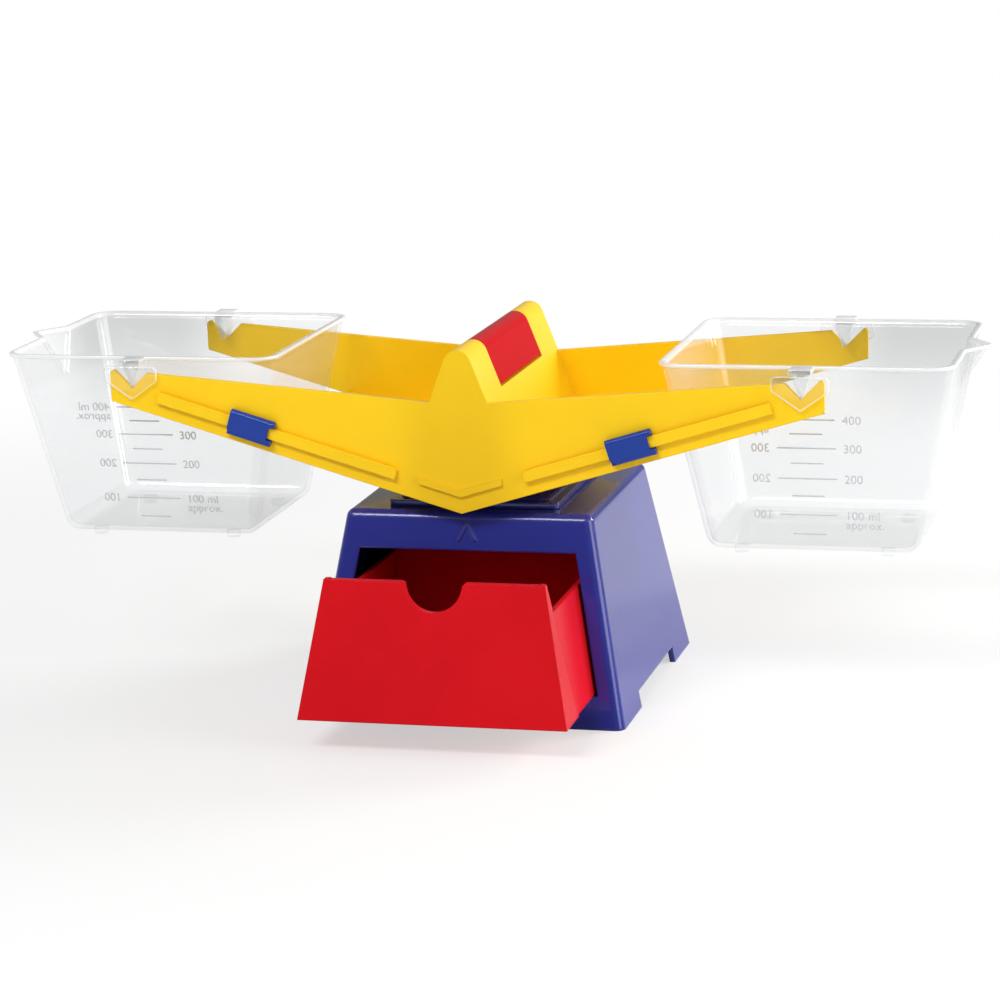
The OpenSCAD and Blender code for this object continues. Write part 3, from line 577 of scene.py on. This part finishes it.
def hanger(bucket, sizes):
    """Bridge, knife and shield at the front of a bucket, in the bucket's frame."""
    fillet, knife_fillet = 0.55 * MM, 0.1 * MM
    shield_radii = np.array([1.5, 1.2, 1.5, 2.2, 2.2]) * MM
    bridge_radius = 0.6 * MM
    knife_radii = np.array([0.3, 0.45, 0.45, 0.3]) * MM
    knife_rise, knife_sink = 0.84, 0.6
    out_y = MIDDLE_Y - RIGHT_LOW.y
    in_y = out_y - sizes.shield_t
    rim_y = bucket.rim_d / 2 - bucket.wall
    wall_y = bucket.low_d / 2 + (bucket.rim_d - bucket.low_d) / 2 * knife_rise - bucket.wall * knife_sink
    top = bucket.depth - sizes.shield_drop
    half = sizes.shield_w / 2
    shoulder = top - sizes.shield_side
    shield = rounded([(-half, shoulder), (0, top - sizes.shield_h), (half, shoulder), (half, top),
                      (-half, top)], shield_radii)
    bridge_low = bucket.depth - sizes.bridge_t
    bridge_half = sizes.bridge_w / 2
    bridge = rounded([(-bridge_half, bridge_low), (bridge_half, bridge_low), (bridge_half, bucket.depth),
                      (-bridge_half, bucket.depth)], bridge_radius)
    edge_z = SWING_Z - (RIGHT_HIGH.z - bucket.depth) - sizes.knife_r
    flare = (bridge_low - edge_z) * math.tan(sizes.knife_angle)
    knife = rounded([(-flare, bridge_low), (-sizes.knife_r, edge_z), (sizes.knife_r, edge_z),
                     (flare, bridge_low)], knife_radii)
    return joined([slab(shield, -out_y, -in_y, fillet),
                   slab(bridge, -out_y, -rim_y, fillet),
                   slab(knife, -in_y + fillet, -wall_y, knife_fillet)])


def bucket_foot(sizes):
    """Round foot under a bucket's floor, sunk a little into it, with a quarter round as its lower edge."""
    edge, sunk = 0.6 * MM, 0.4 * MM
    turn = np.linspace(-math.pi / 2, 0, 5)
    radii = np.concatenate([sizes.foot_r - edge + edge * np.cos(turn), [sizes.foot_r]])
    heights = np.concatenate([edge + edge * np.sin(turn), [sizes.foot_h + sunk]]) - sizes.foot_h
    return turned(radii, heights)


def bucket_mesh(bucket, hangers):
    """Shell, feet and hangers of a bucket, in its own frame."""
    front = hanger(bucket, hangers)
    foot = bucket_foot(bucket)
    places = [(sx * bucket.foot_at, sy * bucket.foot_at, 0) for sx in (-1, 1) for sy in (-1, 1)]
    return joined([bucket_shell(bucket), front, mirrored(front, 1)] + [moved(foot, at) for at in places])


# Marks on the buckets

def number_mesh(text, height, relief):
    """Flat words as a mesh: X along the line, Y up and Z out, with the middle of the first line's numbers at
    the origin's height."""
    cap_share = 0.7
    curve = bpy.data.curves.new("number", "FONT")
    curve.body = text
    curve.size = height / cap_share
    curve.space_line = 0.78
    curve.extrude = relief / 2
    curve.align_x = "LEFT"
    curve.align_y = "TOP_BASELINE"
    holder = bpy.data.objects.new("number", curve)
    bpy.context.scene.collection.objects.link(holder)
    mesh = bpy.data.meshes.new_from_object(holder.evaluated_get(bpy.context.evaluated_depsgraph_get()))
    points = np.empty(len(mesh.vertices) * 3)
    mesh.vertices.foreach_get("co", points)
    faces = [list(face.vertices) for face in mesh.polygons]
    bpy.data.objects.remove(holder)
    bpy.data.meshes.remove(mesh)
    bpy.data.curves.remove(curve)
    return points.reshape(-1, 3) - np.array([0, height / 2, 0]), faces


def line_mesh(half, height, relief):
    """Flat bar with rounded ends: X along it, Y up, Z out."""
    end_radius, fillet = height * 0.45, relief * 0.4
    outline = rounded([(-half, -height / 2), (half, -height / 2), (half, height / 2), (-half, height / 2)],
                      end_radius, steps=4)
    points, faces = slab(outline, -relief, relief, fillet, steps=3)
    return points[:, [0, 2, 1]] * np.array([1, 1, -1]), faces


def on_wall(part, x, height, sizes):
    """Lays a flat mark on the sloping front wall of a bucket, its middle at a height above the floor."""
    slope = (sizes.rim_d / 2 - sizes.bead_out - sizes.low_d / 2) / sizes.depth
    lean = math.atan(slope)
    local = part[0]
    up = np.array([0, -math.sin(lean), math.cos(lean)])
    out = np.array([0, -math.cos(lean), -math.sin(lean)])
    place = np.array([x, -(sizes.low_d / 2 + slope * height), height])
    points = place + local[:, :1] * np.array([1.0, 0, 0]) + local[:, 1:2] * up + local[:, 2:] * out
    return points, part[1]


# Finish of the solids

def smooth_solid(node):
    """Shades a solid as one moulding: its triangles are joined, curves are smooth and flat faces stay
    flat."""
    solid = NODES[node]
    weld = solid.modifiers.new("joined triangles", "WELD")
    weld.merge_threshold = 0.002 * MM
    shading = solid.modifiers.new("smooth curves", "NODES")
    shading.node_group = smooth_group()
    flat = solid.modifiers.new("flat faces", "WEIGHTED_NORMAL")
    flat.mode = "FACE_AREA"
    flat.weight = 90
    flat.keep_sharp = True


def smooth_group():
    """Geometry nodes that shade every face smooth and keep edges above an angle sharp."""
    sharp_angle = math.radians(32.0)
    name = "smooth curves"
    if name in bpy.data.node_groups:
        return bpy.data.node_groups[name]
    group = bpy.data.node_groups.new(name, "GeometryNodeTree")
    group.interface.new_socket("Geometry", in_out="INPUT", socket_type="NodeSocketGeometry")
    group.interface.new_socket("Geometry", in_out="OUTPUT", socket_type="NodeSocketGeometry")
    source = group.nodes.new("NodeGroupInput")
    result = group.nodes.new("NodeGroupOutput")
    faces = group.nodes.new("GeometryNodeSetShadeSmooth")
    faces.domain = "FACE"
    edges = group.nodes.new("GeometryNodeSetShadeSmooth")
    edges.domain = "EDGE"
    edges.inputs["Shade Smooth"].default_value = False
    bend = group.nodes.new("GeometryNodeInputMeshEdgeAngle")
    sharp = group.nodes.new("FunctionNodeCompare")
    sharp.data_type = "FLOAT"
    sharp.operation = "GREATER_THAN"
    sharp.inputs[1].default_value = sharp_angle
    group.links.new(source.outputs[0], faces.inputs["Geometry"])
    group.links.new(faces.outputs[0], edges.inputs["Geometry"])
    group.links.new(bend.outputs["Unsigned Angle"], sharp.inputs[0])
    group.links.new(sharp.outputs[0], edges.inputs["Selection"])
    group.links.new(edges.outputs[0], result.inputs[0])
    return group


def paint(node, material):
    """Gives a solid its material and its smooth shading."""
    solid = NODES[node]
    solid.data.materials.clear()
    solid.data.materials.append(material)
    smooth_solid(node)


# Operators

class BALANCE_OT_base(bpy.types.Operator):
    """Finish the blue base, its floor and the fulcrum post"""

    bl_idname = "balance.base"
    bl_label = "Base"

    def execute(self, context):
        scene = context.scene
        blue = moulded_plastic("blue plastic", scene.plastic_colours.blue, roughness=0.10, specular=0.55,
                               edge=scene.edge_sizes.base)
        for node in ("base_housing", "base_floor", "fulcrum_post"):
            paint(node, blue)
        return {"FINISHED"}


class BALANCE_OT_steel(bpy.types.Operator):
    """Finish the pivot pin and the screws"""

    bl_idname = "balance.steel"
    bl_label = "Pin and screws"

    def execute(self, context):
        steel = drawn_steel("drawn steel", context.scene.edge_sizes.small)
        for node in ("pivot_pin", "floor_screws", "post_screws"):
            paint(node, steel)
        return {"FINISHED"}


class BALANCE_OT_beam(bpy.types.Operator):
    """Finish the yellow beam"""

    bl_idname = "balance.beam"
    bl_label = "Beam"

    def execute(self, context):
        scene = context.scene
        # middle=0.2 paints a shade into the yellow in the middle of the beam
        paint("beam", moulded_plastic("yellow plastic", scene.plastic_colours.yellow, roughness=0.35,
                                      specular=0.2, edge=scene.edge_sizes.beam, cloud=0.025, middle=0.2))
        return {"FINISHED"}


class BALANCE_OT_red_pieces(bpy.types.Operator):
    """Finish the red drawer and the ridge bearing"""

    bl_idname = "balance.red_pieces"
    bl_label = "Drawer and ridge bearing"

    def execute(self, context):
        colours, edges = context.scene.plastic_colours, context.scene.edge_sizes
        paint("drawer", moulded_plastic("red plastic", colours.red, roughness=0.22, specular=0.04,
                                        edge=edges.drawer))
        # the ridge bearing takes the drawer's red painted darker, a painted shade
        paint("ridge_bearing", moulded_plastic("red plastic with painted shade", colours.deep_red, roughness=0.22,
                                               specular=0.02, edge=edges.drawer))
        return {"FINISHED"}


class BALANCE_OT_sliders(bpy.types.Operator):
    """Finish the zeroing sliders"""

    bl_idname = "balance.sliders"
    bl_label = "Sliders"

    def execute(self, context):
        scene = context.scene
        blue = moulded_plastic("bright blue plastic", scene.plastic_colours.bright_blue, roughness=0.16,
                               specular=0.22, edge=scene.edge_sizes.small)
        for node in ("slider_left", "slider_right"):
            paint(node, blue)
        return {"FINISHED"}


class BALANCE_OT_buckets(bpy.types.Operator):
    """Make the clear buckets"""

    bl_idname = "balance.buckets"
    bl_label = "Buckets"

    def execute(self, context):
        scene = context.scene
        clear = clear_plastic("clear plastic", scene.plastic_colours.clear, scene.bucket_sizes)
        # the second material paints a highlight on the hangers' outline
        edges = clear_plastic("clear edges with painted highlight", scene.plastic_colours.clear, scene.bucket_sizes, edge=0.5)
        shape = bucket_mesh(scene.bucket_sizes, scene.hanger_sizes)
        floor_z = RIGHT_HIGH.z - scene.bucket_sizes.depth
        for side, sign in SIDES.items():
            part = shape if sign > 0 else mirrored(shape, 0)
            points, faces = moved(part, (sign * BUCKET_X, MIDDLE_Y, floor_z))
            body = "bucket_" + side
            piece = new_piece("clear_bucket_" + side, points, faces, clear, body)
            piece.data.materials.append(edges)
            edge_faces(piece, scene.bucket_sizes)
            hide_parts(body)
        return {"FINISHED"}


class BALANCE_OT_marks(bpy.types.Operator):
    """Make the volume lines and numbers on the buckets"""

    bl_idname = "balance.marks"
    bl_label = "Bucket marks"

    def execute(self, context):
        scene = context.scene
        sizes = scene.mark_sizes
        bucket = scene.bucket_sizes
        heights = np.array([8.5, 16.9, 25.1, 32.6, 39.2, 45.7, 51.8, 57.9]) * MM
        millilitres = 50
        frosted = frosted_marks("frosted marks", scene.plastic_colours.marks)
        floor_z = RIGHT_HIGH.z - bucket.depth
        for side, sign in SIDES.items():
            parts = []
            for step, height in enumerate(heights):
                numbered = step % 2 == 1
                half = sizes.long_half if numbered else sizes.short_half
                parts.append(on_wall(line_mesh(half, sizes.line_h, sizes.relief), 0, height, bucket))
                if not numbered:
                    continue
                number = str((step + 1) * millilitres)
                with_unit = number + " ml\napprox."
                left_words = with_unit if step == len(heights) - 1 else number
                right_words = with_unit if step == 1 else number
                to_left = mirrored(number_mesh(left_words, sizes.number_h, sizes.relief * 2), 0)
                to_right = number_mesh(right_words, sizes.number_h, sizes.relief * 2)
                parts.append(on_wall(to_left, -sizes.number_x, height, bucket))
                parts.append(on_wall(to_right, sizes.number_x, height, bucket))
            points, faces = moved(joined(parts), (sign * BUCKET_X, MIDDLE_Y, floor_z))
            new_piece("bucket_marks_" + side, points, faces, frosted, "bucket_" + side,
                      smooth=False)
        return {"FINISHED"}


class BALANCE_OT_stage(bpy.types.Operator):
    """Set up the white floor, the lamps and the camera"""

    bl_idname = "balance.stage"
    bl_label = "Studio"

    def execute(self, context):
        scene = context.scene
        studio = scene.studio_settings
        scene.view_settings.view_transform = "Standard"
        self.floor()
        self.world(scene, studio)
        self.lamp("key lamp", place=(-0.4, -1.25, 1.35), size=(0.9, 0.30), watts=studio.key_power)
        self.lamp("side lamp", place=(1.75, -0.30, 0.75), size=(1.4, 1.0), watts=studio.side_power)
        self.lamp("rear lamp", place=(1.3, 1.0, 0.6), size=(0.8, 0.8), watts=studio.rear_power)
        self.camera(scene, studio)
        return {"FINISHED"}

    def floor(self):
        """Plain floor that keeps shadows near the object and fades to even white further out."""
        reach, own_white = 6.0, 0.55
        mesh = bpy.data.meshes.new("floor")
        mesh.from_pydata([(-reach, -reach, 0), (reach, -reach, 0), (reach, reach, 0), (-reach, reach, 0)], [],
                         [(0, 1, 2, 3)])
        material = bpy.data.materials.new("floor")
        graph = Graph(material)
        far = graph.node("ShaderNodeVectorMath", {"operation": "LENGTH"}, graph.place()).value("Value")
        seen = graph.node("ShaderNodeLightPath").value("Is Camera Ray")
        matt = graph.node("ShaderNodeBsdfDiffuse", None, Color=(0.92, 0.92, 0.92, 1)).value()
        white = graph.node("ShaderNodeEmission", None, Color=(1, 1, 1, 1), Strength=1.0).value()
        near = graph.blend(seen * own_white, matt, white)
        graph.surface(graph.blend(far.smooth(low=0.35, high=0.8), near, white))
        mesh.materials.append(material)
        floor = bpy.data.objects.new("floor", mesh)
        bpy.context.scene.collection.objects.link(floor)

    def world(self, scene, studio):
        """Even light from all round. The camera and mirror-like surfaces see it as white, apart from the dim
        room round the balance, which mirrors show, darkest in front."""
        world = bpy.data.worlds.new("studio")
        scene.world = world
        graph = Graph(world)
        path = graph.node("ShaderNodeLightPath")
        _, y, z = graph.axes()
        all_round, in_front = 0.68, 0.22
        below = 1.0 - z.smooth(low=0.1, high=0.7)
        room = below * (all_round + (0.0 - y).smooth(low=0.0, high=0.8) * in_front)
        seen = (path.value("Is Camera Ray") + path.value("Is Transmission Ray")).smooth(low=0.0, high=1.0)
        mirror = path.value("Is Glossy Ray") * (1.0 - seen)
        plain = 1.0 - studio.world_light
        level = studio.world_light + seen * plain + mirror * (plain - room)
        sky = graph.node("ShaderNodeBackground", None, Color=(1, 1, 1, 1), Strength=level).value()
        graph.node("ShaderNodeOutputWorld", None, Surface=sky)

    def lamp(self, name, place, size, watts):
        """Soft lamp, as wide and as high as its size says, that faces the middle of the balance."""
        middle_z = 80 * MM
        light = bpy.data.lights.new(name, "AREA")
        light.shape = "RECTANGLE"
        light.size, light.size_y = size
        light.energy = watts
        lamp = bpy.data.objects.new(name, light)
        aim = Vector((0, 0, middle_z)) - Vector(place)
        lamp.matrix_world = Matrix.Translation(place) @ aim.to_track_quat("-Z", "Y").to_matrix().to_4x4()
        bpy.context.scene.collection.objects.link(lamp)

    def camera(self, scene, studio):
        """Camera on a sphere about its target, rolled about its own axis."""
        turn, lift, roll = studio.azimuth, studio.elevation, studio.roll
        back = Vector((math.sin(turn) * math.cos(lift), -math.cos(turn) * math.cos(lift), math.sin(lift)))
        level = Vector((math.cos(turn), math.sin(turn), 0))
        up = back.cross(level)
        right = level * math.cos(roll) + up * math.sin(roll)
        up = up * math.cos(roll) - level * math.sin(roll)
        place = Vector((0, MIDDLE_Y, studio.target_z)) + back * studio.distance
        data = bpy.data.cameras.new("camera")
        data.lens = studio.lens
        camera = bpy.data.objects.new("camera", data)
        camera.matrix_world = Matrix((
            (right.x, up.x, back.x, place.x), (right.y, up.y, back.y, place.y),
            (right.z, up.z, back.z, place.z), (0, 0, 0, 1)))
        scene.collection.objects.link(camera)
        scene.camera = camera


OPERATORS = (BALANCE_OT_base, BALANCE_OT_steel, BALANCE_OT_beam, BALANCE_OT_red_pieces, BALANCE_OT_sliders,
             BALANCE_OT_buckets, BALANCE_OT_marks, BALANCE_OT_stage)


class BALANCE_PT_panel(bpy.types.Panel):
    """Steps that dress the balance, and the sizes and colours that they use"""

    bl_idname = "BALANCE_PT_panel"
    bl_label = "Bucket balance"
    bl_space_type = "VIEW_3D"
    bl_region_type = "UI"
    bl_category = "Balance"

    def draw(self, context):
        layout = self.layout
        for operator in OPERATORS:
            layout.operator(operator.bl_idname)
        for name, group in GROUPS.items():
            box = layout.box()
            box.label(text=name.replace("_", " ").capitalize())
            for key in group.__annotations__:
                box.prop(getattr(context.scene, name), key)


def register():
    for name, group in GROUPS.items():
        bpy.utils.register_class(group)
        setattr(bpy.types.Scene, name, bpy.props.PointerProperty(type=group))
    for operator in OPERATORS:
        bpy.utils.register_class(operator)
    bpy.utils.register_class(BALANCE_PT_panel)


def unregister():
    bpy.utils.unregister_class(BALANCE_PT_panel)
    for operator in reversed(OPERATORS):
        bpy.utils.unregister_class(operator)
    for name, group in reversed(GROUPS.items()):
        delattr(bpy.types.Scene, name)
        bpy.utils.unregister_class(group)


def main():
    register()
    bpy.ops.balance.base()
    bpy.ops.balance.steel()
    bpy.ops.balance.beam()
    bpy.ops.balance.red_pieces()
    bpy.ops.balance.sliders()
    bpy.ops.balance.buckets()
    bpy.ops.balance.marks()
    bpy.ops.balance.stage()


if __name__ == "__main__":
    main()
